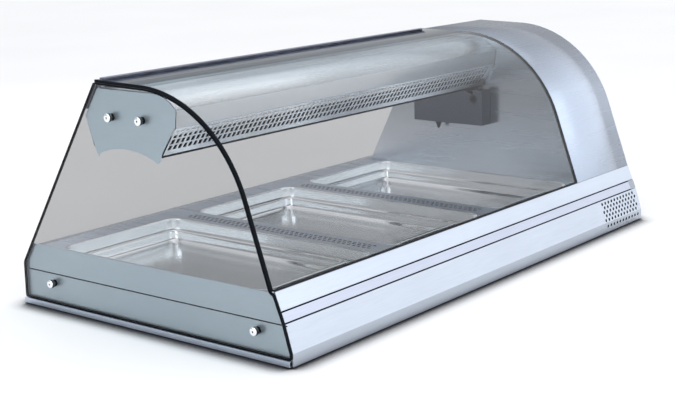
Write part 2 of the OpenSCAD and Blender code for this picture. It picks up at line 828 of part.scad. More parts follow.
module thermostat_knob() {
  color([0.1, 0.1, 0.11]) in_case() on_rear(knob_at) difference() {
    union() {
      translate([0, 0, -18]) cylinder(d = 6, h = 24, $fn = 48);
      translate([0, 0, 3.6]) cylinder(d = knob_d, h = 4, $fn = round_fn);
      translate([0, 0, 3.6]) cylinder(d = knob_d - 8, h = 20, $fn = round_fn);
    }
    translate([-1, -knob_d / 2, 22.6]) cube([2, knob_d / 2, 3]);
  }
}

module switch_bezel() {
  color([0.1, 0.1, 0.11]) in_case() for (at = switch_at) on_rear(at) difference() {
    union() {
      translate([-8, -15, -14]) cube([16, 30, 14]);
      translate([-10, -17, 0]) cube([20, 34, 2]);
    }
    translate([-rocker_w / 2 - 0.3, -12, -12.5]) cube([rocker_w + 0.6, 24, 20]);
    rotate([0, 90, 0]) translate([2, 0, -8.6]) cylinder(d = 3.1, h = 17.2, $fn = small_fn);
  }
}

// Rocker that tips about a pin 2 mm below the panel face
module rocker() {
  translate([0, 0, -2]) rotate([rocker_tilt, 0, 0]) rotate([0, 90, 0]) {
    translate([0, 0, -rocker_w / 2]) linear_extrude(rocker_w) intersection() {
      circle(r = rocker_r, $fn = 64);
      polygon([[4, 9], [4, -9], [-4, -12], [-5.5, -10], [-3.5, 0], [-5.5, 10], [-4, 12]]);
    }
    translate([0, 0, -rocker_w / 2 - 1.2]) cylinder(d = 3, h = rocker_w + 2.4, $fn = small_fn);
  }
}

module power_rocker() {
  color([0.15, 0.5, 0.2]) in_case() on_rear(switch_at[0]) rocker();
}

module light_rocker() {
  color([0.6, 0.15, 0.12]) in_case() on_rear(switch_at[1]) rocker();
}

module temperature_display() {
  color([0.09, 0.09, 0.1]) in_case() on_rear(display_at) {
    translate([-35, -13, -30]) cube([70, 26, 30]);
    translate([-38, -17, 0]) cube([76, 34, 3]);
  }
}

module pilot_lamp() {
  color([0.9, 0.5, 0.1]) in_case() on_rear(pilot_at) {
    translate([0, 0, -18]) cylinder(d = 10, h = 18, $fn = 48);
    cylinder(d = 13, h = 2, $fn = 48);
    translate([0, 0, 2]) cylinder(d = 9, h = 2.5, $fn = 48);
  }
}

base_pan();
base_insulation();
air_duct_tray();
well_heaters();
rubber_feet();
left_side_panel();
right_side_panel();
rear_panel();
rear_screws();
cable_gland();
front_lower_panel();
front_trim_strip();
trim_end_cap();
front_top_rail();
deck_plate();
rear_ledge();
well_frame_1();
well_frame_2();
well_frame_3();
gn_pan_1();
gn_pan_2();
gn_pan_3();
side_glass();
glass_screws();
glass_washers();
front_glass();
glass_rest_seal();
glass_hinge_bar();
hinge_blocks();
hinge_pins();
canopy_shell();
canopy_back_plate();
canopy_end_left();
canopy_end_right();
canopy_grille();
lamp_reflector();
heat_lamp_tube();
lamp_holders();
canopy_bracket_box();
probe_cone();
cable_grommet();
housing_shell();
housing_inner_wall();
housing_outer_wall();
housing_rear_panel();
housing_floor();
fan_bracket();
fan_motor();
fan_wheel();
air_heater_coil();
control_box();
thermostat_body();
thermostat_knob();
switch_bezel();
power_rocker();
light_rocker();
temperature_display();
pilot_lamp();
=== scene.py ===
"""Looks for the hot food display case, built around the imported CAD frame."""

import json
import math

import bmesh
import bpy
from mathutils import Matrix, Vector


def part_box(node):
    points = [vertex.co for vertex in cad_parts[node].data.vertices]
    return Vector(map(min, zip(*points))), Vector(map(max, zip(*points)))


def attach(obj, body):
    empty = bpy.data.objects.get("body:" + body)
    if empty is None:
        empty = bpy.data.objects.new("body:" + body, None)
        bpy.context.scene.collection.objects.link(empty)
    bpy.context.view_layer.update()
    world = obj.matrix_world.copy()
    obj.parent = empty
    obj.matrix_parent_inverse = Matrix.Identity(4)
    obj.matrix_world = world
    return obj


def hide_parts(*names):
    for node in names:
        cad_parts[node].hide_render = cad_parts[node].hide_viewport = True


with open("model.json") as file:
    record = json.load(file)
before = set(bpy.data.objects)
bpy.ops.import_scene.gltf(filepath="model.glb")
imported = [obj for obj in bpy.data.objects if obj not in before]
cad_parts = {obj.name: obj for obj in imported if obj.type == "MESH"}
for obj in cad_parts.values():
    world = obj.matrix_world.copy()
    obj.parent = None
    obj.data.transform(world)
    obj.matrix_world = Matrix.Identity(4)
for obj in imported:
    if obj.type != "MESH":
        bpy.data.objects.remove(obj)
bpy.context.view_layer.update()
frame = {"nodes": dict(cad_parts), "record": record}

MM = 0.001
# The case's left glass face, front bottom edge and worktop are zero in the helpers below.
CASE_ZERO = Vector((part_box("side_glass")[0].x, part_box("front_lower_panel")[0].y, 0.0))


def at(x, y, z):
    """A point of the case, counted in millimetres from its left face, front edge and worktop."""
    return CASE_ZERO + Vector((x, y, z)) * MM


def mm_box(node):
    """A CAD node's lowest and highest corners in case millimetres."""
    low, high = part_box(node)
    return (low - CASE_ZERO) / MM, (high - CASE_ZERO) / MM


# ---- the pane line -------------------------------------------------------------

FOOT = Vector((40.0, 142.0))
CROWN = Vector((506.0, 514.0))
BEND_CENTRE = Vector((378.0, 215.0))
BEND_R = 296.0
GLASS_T = 6.0
CANOPY_TOP = Vector((506.0, 497.0))
CANOPY_BEND_CENTRE = Vector((350.0, 405.0))
CANOPY_BEND_R = 92.0
CANOPY_CREASE = math.radians(138.0)
CREASE_Z = 466.0
CANOPY_BROW = Vector((285.0, 431.0))
CANOPY_TAIL = Vector((548.5, 437.0))
BACK_PLATE_END = Vector((528.0, 374.0))
ARCH_CENTRE = Vector((430.0, 164.0))
ARCH_R = 212.2
SIDE_REAR = Vector((771.0, 96.0))
KNOB_AT = Vector((1350.0, 130.0))
REAR_LEAN = math.atan2(698.0 - CROWN.x, CROWN.y - 142.0)


def ray(angle):
    return Vector((math.cos(angle), math.sin(angle)))


def tangent_angle(point, side):
    d = point - BEND_CENTRE
    return math.atan2(d.y, d.x) + side * math.acos(BEND_R / d.length)


FOOT_ANGLE = tangent_angle(FOOT, -1) + 2 * math.pi
CROWN_ANGLE = tangent_angle(CROWN, 1)


def arc(centre, r, a0, a1, steps):
    return [centre + r * ray(a0 + (a1 - a0) * i / steps) for i in range(steps + 1)]


def pane_line(o, low_z, rear_y, steps=72):
    """The pane's line, o millimetres inside it, from height low_z up and back to rear_y."""
    start = FOOT - o * ray(FOOT_ANGLE)
    rise = ray(FOOT_ANGLE - math.pi / 2)
    start = start + rise * ((low_z - start.y) / rise.y)
    end = CROWN - o * ray(CROWN_ANGLE)
    back = ray(CROWN_ANGLE - math.pi / 2)
    end = end + back * ((rear_y - end.x) / back.x)
    return [start, *arc(BEND_CENTRE, BEND_R - o, FOOT_ANGLE, CROWN_ANGLE, steps), end]


# ---- mesh helpers --------------------------------------------------------------


def soften(points, cut, steps=3, sharper=20.0):
    """Rounds the corners of a closed outline that turn by more than `sharper` degrees."""
    rounded = []
    count = len(points)
    for i, p in enumerate(points):
        before, after = points[i - 1] - p, points[(i + 1) % count] - p
        turn = 180 - math.degrees(before.angle(after))
        if turn < sharper:
            rounded.append(p)
            continue
        reach = min(cut, before.length * 0.45, after.length * 0.45)
        a, b = p + before.normalized() * reach, p + after.normalized() * reach
        for k in range(steps + 1):
            t = k / steps
            rounded.append(a * (1 - t) ** 2 + p * 2 * t * (1 - t) + b * t * t)
    return rounded


def inset(points, d):
    """A closed anticlockwise outline moved d inwards."""
    moved = []
    count = len(points)
    for i, p in enumerate(points):
        u = (p - points[i - 1]).normalized()
        v = (points[(i + 1) % count] - p).normalized()
        n = Vector((-u.y - v.y, u.x + v.x)).normalized()
        moved.append(p + n * d / max(0.35, n.dot(Vector((-u.y, u.x)))))
    return moved


def anticlockwise(points):
    area = sum(
        points[i - 1].x * p.y - p.x * points[i - 1].y for i, p in enumerate(points)
    )
    return points if area > 0 else list(reversed(points))


def smooth(bm, sharp_angle=28.0):
    """Smooth shading, with the edges that turn by more than the angle kept sharp."""
    limit = math.radians(sharp_angle)
    for face in bm.faces:
        face.smooth = True
    for edge in bm.edges:
        edge.smooth = len(edge.link_faces) == 2 and edge.calc_face_angle(0) < limit


def piece(name, bm, materials, body, replaces=()):
    """Makes the object from the mesh, in the row frame, and ties it to its CAD body."""
    mesh = bpy.data.meshes.new(name)
    bmesh.ops.recalc_face_normals(bm, faces=bm.faces)
    bm.to_mesh(mesh)
    bm.free()
    for material in materials:
        mesh.materials.append(material)
    made = bpy.data.objects.new(name, mesh)
    bpy.context.scene.collection.objects.link(made)
    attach(made, body)
    if replaces:
        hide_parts(*replaces)
    return made


def near(point, path, cuts=24):
    """The distance from a point to an open path."""
    best = 1e9
    for a, b in zip(path, path[1:]):
        for k in range(cuts + 1):
            best = min(best, (a + (b - a) * k / cuts - point).length)
    return best


def loft(bm, rings, wrap=False):
    """Joins rings of points into a skin, with a face at each open end."""
    rows = [[bm.verts.new(p) for p in ring] for ring in rings]
    pairs = zip(rows, rows[1:] + rows[:1]) if wrap else zip(rows, rows[1:])
    sides = []
    for low, high in pairs:
        for i in range(len(low)):
            sides.append(bm.faces.new((low[i - 1], low[i], high[i], high[i - 1])))
    if not wrap:
        bm.faces.new(reversed(rows[0]))
        bm.faces.new(rows[-1])
    return sides


def plate_rings(outline, x0, x1, arris):
    """Rings of a plate with chamfered edges, from an outline in the y-z plane."""
    small = inset(outline, arris)
    spans = [(x0, small), (x0 + arris, outline), (x1 - arris, outline), (x1, small)]
    return [[at(x, p.x, p.y) for p in ring] for x, ring in spans]


def extruded(outline, x0, x1, arris):
    bm = bmesh.new()
    loft(bm, plate_rings(anticlockwise(outline), x0, x1, arris))
    return bm


def strip(outer, inner):
    return anticlockwise(outer + list(reversed(inner)))


def rounded_rect(x0, y0, x1, y1, r, steps=10):
    corners = [(x1 - r, y1 - r, 0), (x0 + r, y1 - r, 90), (x0 + r, y0 + r, 180), (x1 - r, y0 + r, 270)]
    points = []
    for cx, cy, start in corners:
        for k in range(steps + 1):
            a = math.radians(start + 90 * k / steps)
            points.append((cx + r * math.cos(a), cy + r * math.sin(a)))
    return points


def rect_ring(box, inward, z, r):
    x0, y0, x1, y1 = box
    outline = rounded_rect(x0 + inward, y0 + inward, x1 - inward, y1 - inward, max(r - inward, 2.0))
    return [at(x, y, z) for x, y in outline]


def turned(bm, profile, origin, axis, steps=40):
    """Turns a profile of (radius, height) about an axis through origin. It closes on the axis."""
    axis = Vector(axis).normalized()
    side = axis.orthogonal().normalized()
    other = axis.cross(side)
    rings = []
    for r, h in profile:
        ring = []
        for k in range(steps):
            a = 2 * math.pi * k / steps
            ring.append(origin + (side * math.cos(a) + other * math.sin(a)) * r * MM + axis * h * MM)
        rings.append(ring)
    loft(bm, rings)


# ---- material helpers ----------------------------------------------------------


class Graph:
    """A material's node tree, with one call for each node."""

    def __init__(self, name):
        self.material = bpy.data.materials.new(name)
        self.material.use_nodes = True
        self.tree = self.material.node_tree
        self.tree.nodes.clear()
        self.coords = self.add("TexCoord").outputs["Object"]

    def add(self, kind, settings=None, **inputs):
        made = self.tree.nodes.new("ShaderNode" + kind)
        for key, value in (settings or {}).items():
            setattr(made, key, value)
        for key, value in inputs.items():
            self.put(made.inputs[int(key[1:]) if key[1:].isdigit() else key.replace("_", " ")], value)
        return made

    def put(self, socket, value):
        if isinstance(value, bpy.types.NodeSocket):
            self.tree.links.new(value, socket)
        else:
            socket.default_value = value

    def noise(self, scale, detail=3.0, stretch=(1, 1, 1), rough=0.55):
        mapped = self.add("Mapping", Vector=self.coords, Scale=stretch)
        made = self.add("TexNoise", Vector=mapped.outputs[0], Scale=scale, Detail=detail, Roughness=rough)
        return made.outputs[0]

    def remap(self, value, low, high, from_low=0.3, from_high=0.7):
        node = self.add("MapRange", i0=value, i1=from_low, i2=from_high, i3=low, i4=high)
        return node.outputs[0]

    def math(self, operation, a, b):
        return self.add("Math", {"operation": operation}, i0=a, i1=b).outputs[0]

    def blend(self, factor, a, b):
        node = self.add("Mix", {"data_type": "RGBA"}, i0=factor, i6=a, i7=b)
        return node.outputs[2]

    def worn_and_lit_edge(self, width):
        """(rounded normal, 0 to 1 towards an outer edge)"""
        bevel = self.add("Bevel", {"samples": 4}, Radius=width).outputs[0]
        true = self.add("NewGeometry").outputs["Normal"]
        facing = self.add("VectorMath", {"operation": "DOT_PRODUCT"}, i0=bevel, i1=true).outputs["Value"]
        return bevel, self.remap(facing, 1.0, 0.0, 0.82, 0.995)

    def finish(self, shader):
        out = self.add("OutputMaterial")
        self.tree.links.new(shader, out.inputs["Surface"])
        return self.material


def shade(colour, factor):
    return tuple(min(1.0, c * factor) for c in colour[:3]) + (1.0,)


GRAIN = {"x": (0.02, 1, 1), "y": (1, 0.02, 1), "z": (1, 1, 0.02), "none": (1, 1, 1)}


# Near-black painted shade for the walls of slots.
SLOT_WALL_SHADE = (0.01, 0.011, 0.014, 1)
SLOT_SHADE_SLOPE = (0.5, 0.8)  # upward part of the normal, from a slot's wall to the plate's top


def steel(
    name, colour, rough, grain="x", metallic=0.95, streaks=0.05, wave=0.0, relief=0.35, painted_shading=None, cuts=False
):
    """Brushed sheet: fine streaks along the grain, slow changes of tone, and edges painted lighter, as wear
    and as a painted highlight where they catch the light.

    The height ramp argument is (low height, high height, tone at the low one, tone at the high one), in
    metres: painted shading, lighter or darker with height as the light falls.
    `cuts` paints the walls of slots cut through a level plate near-black, as painted shade.
    """
    g = Graph(name)
    fine = g.noise(900, 2, GRAIN[grain])
    broad = g.noise(60, 3, GRAIN[grain])
    slow = g.noise(4, 2)
    normal, edge = g.worn_and_lit_edge(0.0007)
    tone = g.blend(g.remap(fine, 0, 1), shade(colour, 1 - streaks), shade(colour, 1 + streaks))
    tone = g.blend(g.remap(slow, 0, 0.5), tone, shade(colour, 0.93))
    # Painted shading: the tone is multiplied by a grey ramp over height, darker or lighter as light falls on
    # the part.
    if painted_shading:
        low, high, tone_low, tone_high = painted_shading
        above = g.add("SeparateXYZ", Vector=g.coords).outputs["Z"]
        level = g.remap(above, tone_low, tone_high, low, high)
        grey = g.add("CombineXYZ", X=level, Y=level, Z=level).outputs[0]
        tone = g.add(
            "Mix", {"data_type": "RGBA", "blend_type": "MULTIPLY"}, i0=1.0, i6=tone, i7=grey
        ).outputs[2]
    # Edges painted lighter: wear, and a painted highlight where the rounded edge catches the light.
    tone = g.blend(g.math("MULTIPLY", edge, 0.6), tone, shade(colour, 1.22))
    # Painted shade: faces that do not face up, the slot walls, are blended to near-black.
    if cuts:
        up = g.add("SeparateXYZ", Vector=g.add("NewGeometry").outputs["Normal"]).outputs["Z"]
        tone = g.blend(g.remap(up, 1, 0, *SLOT_SHADE_SLOPE), tone, SLOT_WALL_SHADE)
    spread = 0.02 + 0.6 * streaks
    roughness = g.math("ADD", g.remap(broad, rough - spread, rough + spread), g.remap(slow, -0.02, 0.02))
    height = g.math("ADD", g.math("MULTIPLY", fine, 0.12), g.math("MULTIPLY", slow, wave))
    bump = g.add("Bump", Strength=relief, Distance=0.0006, Height=height, Normal=normal).outputs[0]
    shader = g.add(
        "BsdfPrincipled", Base_Color=tone, Metallic=metallic, Roughness=roughness, Normal=bump
    )
    return g.finish(shader.outputs[0])


def plastic(name, colour, rough, speckle=0.12, coat=0.0):
    """Moulded plastic, rubber or glazed ceramic: fine texture, and edges painted lighter, as rubbing wear and
    as a painted highlight.
    """
    g = Graph(name)
    grain = g.noise(1400, 2)
    slow = g.noise(12, 3)
    normal, edge = g.worn_and_lit_edge(0.0006)
    tone = g.blend(g.remap(grain, 0, 1), shade(colour, 1 - speckle), shade(colour, 1 + speckle))
    # Edges painted lighter: rubbing wear, and a painted highlight where the rounded edge catches the light.
    tone = g.blend(g.math("MULTIPLY", edge, 0.35), tone, shade(colour, 1.7))
    roughness = g.math("ADD", g.remap(slow, rough - 0.06, rough + 0.06), g.remap(grain, -0.03, 0.03))
    bump = g.add("Bump", Strength=0.25, Distance=0.0003, Height=grain, Normal=normal).outputs[0]
    shader = g.add("BsdfPrincipled", Base_Color=tone, Roughness=roughness, Normal=bump)
    shader.inputs["Coat Weight"].default_value = coat
    return g.finish(shader.outputs[0])


def glass(name, tint, grazing_tint, ior=1.28):
    """A pane: a thin tinted film on each face, clear to lamps, with faint wipe marks."""
    g = Graph(name)
    smear = g.noise(14, 4, (1, 1, 0.4))
    facing = g.add("LayerWeight", Blend=0.5).outputs["Facing"]
    colour = g.blend(g.remap(facing, 0, 1, 0.58, 0.76), tint, grazing_tint)
    clear = g.add("BsdfTransparent", Color=colour).outputs[0]
    gloss = g.add(
        "BsdfGlossy", Color=(1, 1, 1, 1), Roughness=g.remap(smear, 0.02, 0.05)
    ).outputs[0]
    bump = g.add("Bump", Strength=0.02, Distance=0.0004, Height=smear).outputs[0]
    outside = g.math("SUBTRACT", 1.0, g.add("NewGeometry").outputs["Backfacing"])
    fresnel = g.add("Fresnel", IOR=ior, Normal=bump).outputs[0]
    mirror = g.math("MULTIPLY", fresnel, outside)
    seen = g.add("MixShader", i0=mirror, i1=clear, i2=gloss).outputs[0]
    light = g.add("BsdfTransparent", Color=(0.94, 0.96, 0.96, 1)).outputs[0]
    path = g.add("LightPath")
    passing = g.math("MAXIMUM", path.outputs["Is Shadow Ray"], path.outputs["Is Diffuse Ray"])
    passing = g.math("MAXIMUM", passing, path.outputs["Is Glossy Ray"])
    return g.finish(g.add("MixShader", i0=passing, i1=seen, i2=light).outputs[0])


def painted_edge_shade(name):
    """Painted shade for the ground edges of the panes and the rebates of the trim strip: near-black, with a
    soft green-blue.
    """
    g = Graph(name)
    cloud = g.noise(40, 3)
    tone = g.blend(g.remap(cloud, 0, 1), (0.002, 0.003, 0.005, 1), (0.004, 0.006, 0.009, 1))
    shader = g.add(
        "BsdfPrincipled", Base_Color=tone, Roughness=g.remap(cloud, 0.4, 0.55)
    )
    shader.inputs["Specular IOR Level"].default_value = 0.06
    return g.finish(shader.outputs[0])


# The stainless parts are all one steel. Each part gets its own lighter or darker, blue-tinted copy of it as
# painted light and shade. Against steel_body, the side panels, deck, inner wall, inner sheets and canopy are
# painted lighter; the housing, front panels and trim are painted darker; the bracket box is painted far
# darker as shade.
MATERIALS = {
    "steel_body": steel("steel_body", (0.54, 0.60, 0.69), 0.36, "x"),
    "steel_side": steel("steel_side", (0.78, 0.89, 1.0), 0.40, "y"),
    # Painted shade: darker towards the housing's top.
    "steel_housing": steel(
        "steel_housing", (0.41, 0.46, 0.54), 0.26, "x", streaks=0.03, painted_shading=(0.36, 0.47, 1.0, 0.55)
    ),
    "steel_front": steel("steel_front", (0.50, 0.545, 0.61), 0.38, "x"),
    "steel_trim": steel("steel_trim", (0.45, 0.48, 0.56), 0.36, "x"),
    # The deck's slot walls get the near-black painted shade.
    "steel_deck": steel("steel_deck", (0.76, 0.83, 0.93), 0.30, "y", cuts=True),
    # Painted shade: darker towards the inner wall's top.
    "steel_wall": steel(
        "steel_wall", (0.80, 0.85, 0.92), 0.24, "y", wave=0.5, painted_shading=(0.16, 0.34, 0.92, 0.48)
    ),
    # The bracket box's steel, painted far darker as shade.
    "steel_box_shade": steel("steel_box_shade", (0.12, 0.13, 0.16), 0.4, "x"),
    "cap_grey": plastic("cap_grey", (0.26, 0.29, 0.33), 0.45),
    "steel_inner": steel("steel_inner", (0.80, 0.85, 0.92), 0.24, "y", wave=0.5),
    "steel_pressed": steel("steel_pressed", (0.95, 0.97, 0.99), 0.15, "x", streaks=0.02, wave=0.3),
    "steel_canopy": steel("steel_canopy", (0.92, 0.94, 0.99), 0.32, "x", streaks=0.02, relief=0.1),
    # Painted shade: darker down the canopy's bend, lighter at its top.
    "canopy_skin": steel(
        "canopy_skin", (0.93, 0.95, 0.99), 0.26, "x", streaks=0.01, relief=0.06,
        painted_shading=(0.462, 0.492, 0.56, 1.0),
    ),
    "galvanised": steel("galvanised", (0.22, 0.23, 0.25), 0.5, "none", streaks=0.12),
    # Near-black painted shade for insides and hidden sides that no light reaches.
    "inside_shade": steel("inside_shade", (0.03, 0.032, 0.04), 0.6, "x", metallic=0.5),
    "chrome_cap": steel("chrome_cap", (0.93, 0.94, 0.96), 0.07, "none", streaks=0.01),
    "rubber_black": plastic("rubber_black", (0.012, 0.012, 0.014), 0.7),
    "hinge_metal": steel("hinge_metal", (0.20, 0.20, 0.25), 0.4, "x"),
    "plastic_black": plastic("plastic_black", (0.014, 0.014, 0.016), 0.42),
    "element_dark": steel("element_dark", (0.09, 0.085, 0.08), 0.55, "none", metallic=0.6),
    "ceramic": plastic("ceramic", (0.74, 0.72, 0.67), 0.25, speckle=0.03, coat=0.4),
    "lamp_glass": plastic("lamp_glass", (0.86, 0.62, 0.40), 0.3, speckle=0.04, coat=0.3),
    "insulation": plastic("insulation", (0.58, 0.53, 0.33), 0.9, speckle=0.3),
    "control_white": plastic("control_white", (0.62, 0.62, 0.58), 0.5, speckle=0.05),
    "rocker_green": plastic("rocker_green", (0.02, 0.22, 0.05), 0.25, coat=0.5),
    "rocker_red": plastic("rocker_red", (0.42, 0.015, 0.012), 0.25, coat=0.5),
    "lamp_amber": plastic("lamp_amber", (0.85, 0.27, 0.02), 0.18, coat=0.6),
    "pane": glass("pane", (0.68, 0.68, 0.68, 1), (0.80, 0.83, 0.85, 1)),
    "pane_crown": glass("pane_crown", (0.36, 0.45, 0.49, 1), (0.34, 0.43, 0.47, 1), 1.14),
}
# Near-black painted shade for the panes' edges and the trim strip's rebates.
EDGE_SHADE = painted_edge_shade("pane_edge_shade")
# Nodes that look different from the rest of their slot: lighter, darker and shaded copies, as painted light
# and shade
NODE_LOOKS = {
    "left_side_panel": "steel_side",
    "canopy_end_left": "steel_side",
    "housing_inner_wall": "steel_wall",
    "canopy_bracket_box": "steel_box_shade",
    "deck_plate": "steel_deck",
    "air_duct_tray": "inside_shade",
    "base_insulation": "inside_shade",
}


def dress_cad_nodes():
    """Gives every CAD node its slot's procedural material."""
    slots = {part["node"]: part["material_slot"] for part in frame["record"]["subparts"]}
    for name, node in frame["nodes"].items():
        material = MATERIALS[NODE_LOOKS.get(name, slots[name])]
        for held in node.material_slots:
            held.material = material


# ---- glass ---------------------------------------------------------------------


def pane_piece(name, bm, body, replaces):
    return piece(name, bm, [MATERIALS["pane"], EDGE_SHADE, MATERIALS["pane_crown"]], body, replaces)


def front_pane():
    low, high = mm_box("front_glass")
    outer = pane_line(0, low.z, high.y)
    inner = pane_line(GLASS_T, low.z, high.y)
    outline = anticlockwise(soften(strip(outer, inner), 0.9, 2))
    small, arris, band = inset(outline, 0.7), 0.7, 3.2
    spans = [
        (low.x, small), (low.x + arris, outline), (low.x + band, outline),
        (high.x - band, outline), (high.x - arris, outline), (high.x, small),
    ]
    bm = bmesh.new()
    loft(bm, [[at(x, p.x, p.y) for p in ring] for x, ring in spans])
    mark_pane(bm)
    smooth(bm, 24)
    return pane_piece("front_pane", bm, "glass_flap", ["front_glass"])


def mark_pane(bm):
    """The long faces are clear, the flat crown darker; the end faces and a band along the foot get the
    near-black painted edge shade.
    """
    bm.normal_update()
    for face in bm.faces:
        span = max(v.co.x for v in face.verts) - min(v.co.x for v in face.verts)
        middle = (face.calc_center_median() - CASE_ZERO) / MM
        edge = span < 0.1 or middle.z < 145.5
        face.material_index = 1 if edge else (2 if middle.y > BEND_CENTRE.x + 6 else 0)


def side_pane():
    low, high = mm_box("side_glass")
    rear_top = high.z
    lean = (SIDE_REAR.x - CROWN.x) / (CROWN.y - SIDE_REAR.y)
    line = pane_line(GLASS_T + 1, 141.0, CROWN.x)
    outline = [Vector(p) for p in ((0, low.z), (0, 28.5), (16.4, 83.8), (25.4, 106.5), (38.6, 138.5))]
    outline += line
    outline += [Vector((CROWN.x + 7 * lean, rear_top)), SIDE_REAR, Vector((SIDE_REAR.x, low.z))]
    outline = soften(anticlockwise(outline), 6.0, 6, 25)
    small, inner, arris = inset(outline, 0.7), inset(outline, 3.2), 0.7
    spans = [
        (low.x, inner), (low.x, small), (low.x + arris, outline),
        (high.x - arris, outline), (high.x, small), (high.x, inner),
    ]
    bm = bmesh.new()
    loft(bm, [[at(x, p.x, p.y) for p in ring] for x, ring in spans])
    # The edge faces and a narrow border on each face get the near-black painted edge shade; the large faces
    # stay clear.
    for face in bm.faces:
        face.material_index = 0 if len(face.verts) > 4 else 1
    smooth(bm, 24)
    return pane_piece("side_pane", bm, "case", ["side_glass"])


# ---- sheet metal ---------------------------------------------------------------


def housing_skin():
    """The housing's bent cover. Its upper bend was pressed in short flats, which show as bands."""
    low, high = mm_box("housing_shell")
    first, last, flats = math.radians(104), math.radians(127), 9

    def line(o):
        start, end = pane_line(o, low.z, high.y)[0], pane_line(o, low.z, high.y)[-1]
        r = BEND_R - o
        return (
            [start]
            + arc(BEND_CENTRE, r, FOOT_ANGLE, last, 30)
            + arc(BEND_CENTRE, r, last, first, flats)[1:]
            + arc(BEND_CENTRE, r, first, CROWN_ANGLE, 14)[1:]
            + [end]
        )

    bm = bmesh.new()
    outline = soften(strip(line(0), line(1.5)), 0.5, 2)
    loft(bm, plate_rings(outline, low.x, high.x, 0.4))
    smooth(bm, 24)
    centre = at(0, BEND_CENTRE.x, BEND_CENTRE.y)
    for edge in bm.edges:
        middle = (edge.verts[0].co + edge.verts[1].co) / 2 - centre
        angle = math.atan2(middle.z, middle.y)
        along = abs(edge.verts[0].co.x - edge.verts[1].co.x) > 0.1
        if along and first - 0.01 < angle < last + 0.01:
            edge.smooth = False
    return piece("housing_skin", bm, [MATERIALS["steel_housing"]], "case", ["housing_shell"])


def lined_sheet(name, node, line, slot):
    """A bent sheet of the canopy, bright outside, with its inner faces painted near-black as shade."""
    low, high = mm_box(node)
    outer, inner = line(0), line(1.5)
    bm = extruded(soften(strip(outer, inner), 0.5, 2), low.x, high.x, 0.3)
    for face in bm.faces:
        middle = (face.calc_center_median() - CASE_ZERO) / MM
        spot = Vector((middle.y, middle.z))
        span = max(v.co.x for v in face.verts) - min(v.co.x for v in face.verts)
        # Inner faces get the near-black painted shade.
        face.material_index = 1 if span > 0.1 and near(spot, inner) < near(spot, outer) else 0
        if face.material_index == 0 and name == "canopy_skin" and middle.z < CREASE_Z:
            face.material_index = 2
    smooth(bm, 10)
    look = MATERIALS["canopy_skin" if name == "canopy_skin" else slot]
    return piece(name, bm, [look, MATERIALS["inside_shade"], MATERIALS[slot]], "case", [node])


def canopy_skin():
    def line(o):
        return [
            CANOPY_TOP - Vector((0, o)),
            *arc(CANOPY_BEND_CENTRE, CANOPY_BEND_R - o, math.pi / 2, CANOPY_CREASE, 40),
            CANOPY_BROW + Vector((o, 0)),
        ]

    return lined_sheet("canopy_skin", "canopy_shell", line, "steel_canopy")


def canopy_back_sheet():
    def line(o):
        drop = Vector((-o * 1.2, 0))
        return [CANOPY_TOP + Vector((0.2, -2 * o)), CANOPY_TAIL + drop, BACK_PLATE_END + drop]

    return lined_sheet("canopy_back_sheet", "canopy_back_plate", line, "steel_inner")


def reflector_sheet():
    """The polished sheet over the lamp. Its hidden upper side is painted near-black as shade."""
    low, high = mm_box("lamp_reflector")

    def line(o):
        start = math.acos((low.y - ARCH_CENTRE.x) / (ARCH_R + 0.5))
        end = math.acos((high.y - ARCH_CENTRE.x) / (ARCH_R + 0.5))
        return arc(ARCH_CENTRE, ARCH_R + o / 1.5, start, end, 40)

    return lined_sheet("reflector_sheet", "lamp_reflector", line, "steel_pressed")


def pressed_pan(index):
    """A lift-out pan: rolled rim, drawn walls with a large floor radius, a slightly raised floor."""
    low, high = mm_box(f"gn_pan_{index}")
    box = (low.x, low.y, high.x, high.y)
    top, rim_low, floor = high.z, high.z - 1.5, low.z
    profile = [
        (0.5, rim_low, 26), (0.0, rim_low + 0.4, 26), (0.0, top - 0.5, 26), (0.5, top, 26),
        (8.0, top, 26), (10.2, top - 0.4, 27), (11.8, top - 1.5, 28), (12.7, top - 3.4, 29),
        (13.6, top - 9.0, 30), (14.4, floor + 9.0, 31), (15.6, floor + 5.6, 32),
        (18.0, floor + 3.0, 34), (21.5, floor + 1.6, 36), (26.0, floor + 1.2, 40),
        (60.0, floor + 1.7, 60), (130.0, floor + 1.9, 132),
    ]
    under = [
        (130.0, floor + 0.9, 132), (26.0, floor, 40), (20.5, floor + 0.4, 36),
        (16.6, floor + 2.2, 33), (14.4, floor + 5.0, 31), (13.2, floor + 9.0, 30),
        (12.2, top - 9.0, 29), (11.6, top - 3.6, 28), (11.0, rim_low, 27),
    ]
    bm = bmesh.new()
    loft(bm, [rect_ring(box, inward, z, r) for inward, z, r in under + profile])
    smooth(bm, 35)
    made = piece(
        f"pressed_pan_{index}", bm, [MATERIALS["steel_pressed"]], f"pan_{index}",
        [f"gn_pan_{index}"],
    )
    return made


